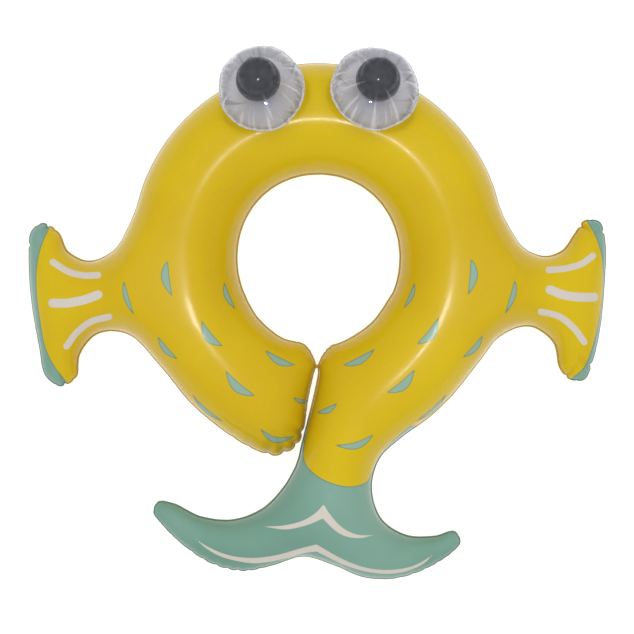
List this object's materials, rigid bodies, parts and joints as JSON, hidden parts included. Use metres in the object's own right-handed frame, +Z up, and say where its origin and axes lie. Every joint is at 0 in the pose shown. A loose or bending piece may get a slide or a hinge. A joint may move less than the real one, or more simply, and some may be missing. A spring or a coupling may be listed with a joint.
{
  "type": "swim ring",
  "caption": "Inflatable fish-shaped swim ring with two fins, a forked tail and clear bubble eyes that hold loose black balls; lies flat, front up.",
  "frame": {"origin": "centre of the bounding box on the ground, under the ring lying flat", "axes": "+X towards the fin on the right as seen from the front, +Y towards the head and eyes, +Z up out of the printed front"},
  "size_m": [0.7334, 0.6617, 0.191],
  "materials": {
    "printed_film": "glossy printed PVC film, yellow with green print",
    "back_film": "glossy yellow PVC film",
    "clear_film": "clear glossy PVC film",
    "pale_film": "pale opaque glossy PVC film",
    "ball_black": "polished black",
    "valve_yellow": "soft moulded PVC, satin",
    "valve_clear": "soft moulded PVC, satin"
  },
  "bodies": {
    "float_body": {"front_skin": "printed_film", "back_skin": "back_film", "end_tack_tab": "printed_film", "valve_base": "valve_yellow", "valve_membrane": "valve_yellow", "eye_left_front_dome": "clear_film", "eye_left_back_dome": "pale_film", "eye_left_mount_patch": "valve_clear", "eye_left_valve_stem": "valve_clear", "eye_right_front_dome": "clear_film", "eye_right_back_dome": "pale_film", "eye_right_mount_patch": "valve_clear", "eye_right_valve_stem": "valve_clear", "eye_left_valve_strap": "valve_clear", "eye_right_valve_strap": "valve_clear"},
    "main_valve_stem": {"valve_stem": "valve_yellow", "valve_strap": "valve_yellow"},
    "main_valve_plug": {"valve_plug": "valve_yellow"},
    "main_valve_flap": {"valve_flap": "valve_yellow"},
    "left_ball": {"pupil_left_front": "ball_black", "pupil_left_back": "ball_black"},
    "left_eye_plug": {"eye_left_valve_plug": "valve_clear"},
    "left_eye_flap": {"eye_left_valve_flap": "valve_clear"},
    "right_ball": {"pupil_right_front": "ball_black", "pupil_right_back": "ball_black"},
    "right_eye_plug": {"eye_right_valve_plug": "valve_clear"},
    "right_eye_flap": {"eye_right_valve_flap": "valve_clear"}
  },
  "joints": [
    {"name": "left_ball_roll", "type": "hinge", "parent": "float_body", "child": "left_ball", "pos_m": [-0.06811, 0.27988, 0.15692], "axis": [-0.0986, 0.2753, 0.9563], "continuous": true},
    {"name": "left_eye_plug_pull", "type": "slide", "parent": "float_body", "child": "left_eye_plug", "axis": [-0.1715, 0.4789, -0.8609], "range_m": [0, 0.006], "deforming": ["eye_left_valve_strap"]},
    {"name": "left_eye_flap_swing", "type": "hinge", "parent": "float_body", "child": "left_eye_flap", "pos_m": [-0.08081, 0.31538, 0.13364], "axis": [-0.9415, -0.3371, 0], "range_deg": [0, 24], "stiffness_Nm_per_rad": 0.00002},
    {"name": "right_ball_roll", "type": "hinge", "parent": "float_body", "child": "right_ball", "pos_m": [0.07031, 0.27988, 0.15654], "axis": [0.0986, 0.2753, 0.9563], "continuous": true},
    {"name": "right_eye_plug_pull", "type": "slide", "parent": "float_body", "child": "right_eye_plug", "axis": [0.1715, 0.4789, -0.8609], "range_m": [0, 0.006], "deforming": ["eye_right_valve_strap"]},
    {"name": "right_eye_flap_swing", "type": "hinge", "parent": "float_body", "child": "right_eye_flap", "pos_m": [0.08301, 0.31538, 0.13326], "axis": [-0.9415, 0.3371, 0], "range_deg": [0, 24], "stiffness_Nm_per_rad": 0.00002},
    {"name": "main_stem_slide", "type": "slide", "parent": "float_body", "child": "main_valve_stem", "axis": [0.5693, 0.5126, -0.6428], "range_m": [0, 0.012], "deforming": ["valve_membrane"]},
    {"name": "main_plug_pull", "type": "slide", "parent": "main_valve_stem", "child": "main_valve_plug", "axis": [0.5693, 0.5126, -0.6428], "range_m": [0, 0.012], "deforming": ["valve_strap"]},
    {"name": "main_flap_swing", "type": "hinge", "parent": "main_valve_stem", "child": "main_valve_flap", "pos_m": [0.15327, 0.22362, 0.03046], "axis": [0.6691, -0.7431, 0], "range_deg": [0, 50], "stiffness_Nm_per_rad": 0.00004}
  ]
}
